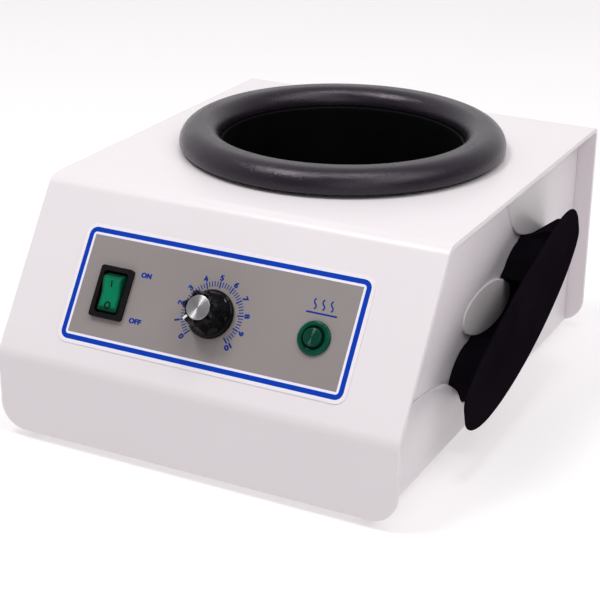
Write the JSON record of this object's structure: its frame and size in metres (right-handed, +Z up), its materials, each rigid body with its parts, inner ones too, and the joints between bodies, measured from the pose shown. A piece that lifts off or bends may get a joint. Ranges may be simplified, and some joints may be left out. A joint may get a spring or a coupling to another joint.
{
  "type": "dry block heater",
  "caption": "Bench dry block heater: white folded case with a sloping control face, a round heated well under a dark collar ring, and black side handles.",
  "frame": {"origin": "on the standing plane under the middle of the object", "axes": "+Z up, +Y to the rear, +X to the right when facing the controls"},
  "size_m": [0.2, 0.2246, 0.1126],
  "materials": {
    "white_paint": "semi-gloss powder coat, off-white",
    "white_plastic": "fine satin moulding, off-white",
    "zinc_sheet": "zinc plated sheet",
    "black_plastic": "satin moulded black",
    "grey_plastic": "satin moulded dark grey",
    "black_anodised": "black hard anodised",
    "heater_steel": "heat tinted mica band sheath",
    "white_ceramic": "unglazed",
    "fibre_wool": "needled glass fibre",
    "bakelite": "moulded phenolic",
    "label_film": "fine textured printed film",
    "thermostat_metal": "plated",
    "nickel": "nickel plated",
    "knob_plastic": "satin black",
    "brushed_cap": "spun and brushed",
    "copper": "drawn copper",
    "switch_black": "semi-gloss black",
    "green_plastic": "translucent green",
    "brass": "bright",
    "lamp_green_rim": "gloss dark green",
    "green_lens": "ribbed green lens",
    "white_nylon": "natural nylon",
    "glass_fuse": "clear tube with plated caps",
    "wire_brown": "silicone insulation",
    "wire_blue": "silicone insulation",
    "wire_red": "glass braid",
    "rubber": "black",
    "screw_steel": "zinc plated"
  },
  "bodies": {
    "housing": {"outer_shell": "white_paint", "base_plate": "zinc_sheet", "side_panel_left": "white_plastic", "side_panel_right": "white_plastic", "handle_left": "black_plastic", "handle_right": "black_plastic", "handle_screws": "screw_steel", "side_panel_screws": "screw_steel", "collar_ring": "grey_plastic", "collar_screws": "screw_steel", "heating_well": "black_anodised", "band_heater": "heater_steel", "band_clamp_screw": "screw_steel", "heater_terminals": "white_ceramic", "insulation_jacket": "fibre_wool", "insulation_pad": "fibre_wool", "well_support": "zinc_sheet", "support_screws": "screw_steel", "thermal_cutout": "bakelite", "heat_shield": "zinc_sheet", "shield_screws": "screw_steel", "control_label": "label_film", "thermostat_body": "thermostat_metal", "bush_nut": "nickel", "sensor_bulb": "copper", "sensor_capillary": "copper", "switch_housing": "switch_black", "switch_terminals": "brass", "lamp_body": "lamp_green_rim", "lamp_lens": "green_lens", "lamp_nut": "switch_black", "inlet_socket": "switch_black", "inlet_pins": "nickel", "inlet_screws": "screw_steel", "terminal_block": "white_nylon", "fuse_holder": "switch_black", "fuse": "glass_fuse", "earth_stud": "brass", "wiring_supply": "wire_brown", "wiring_front": "wire_blue", "wiring_heater": "wire_red", "rubber_feet": "rubber", "foot_screws": "screw_steel", "base_screws": "screw_steel"},
    "dial": {"knob": "knob_plastic", "knob_cap": "brushed_cap", "control_shaft": "nickel"},
    "rocker": {"switch_rocker": "green_plastic"}
  },
  "joints": [
    {"name": "dial_turn", "type": "hinge", "parent": "housing", "child": "dial", "pos_m": [0.001, -0.10054, 0.06935], "axis": [0, 0.83, -0.5577], "range_deg": [0, 271]},
    {"name": "rocker_tilt", "type": "hinge", "parent": "housing", "child": "rocker", "pos_m": [-0.045, -0.09207, 0.06366], "axis": [-1, 0, 0], "range_deg": [0, 18]}
  ]
}
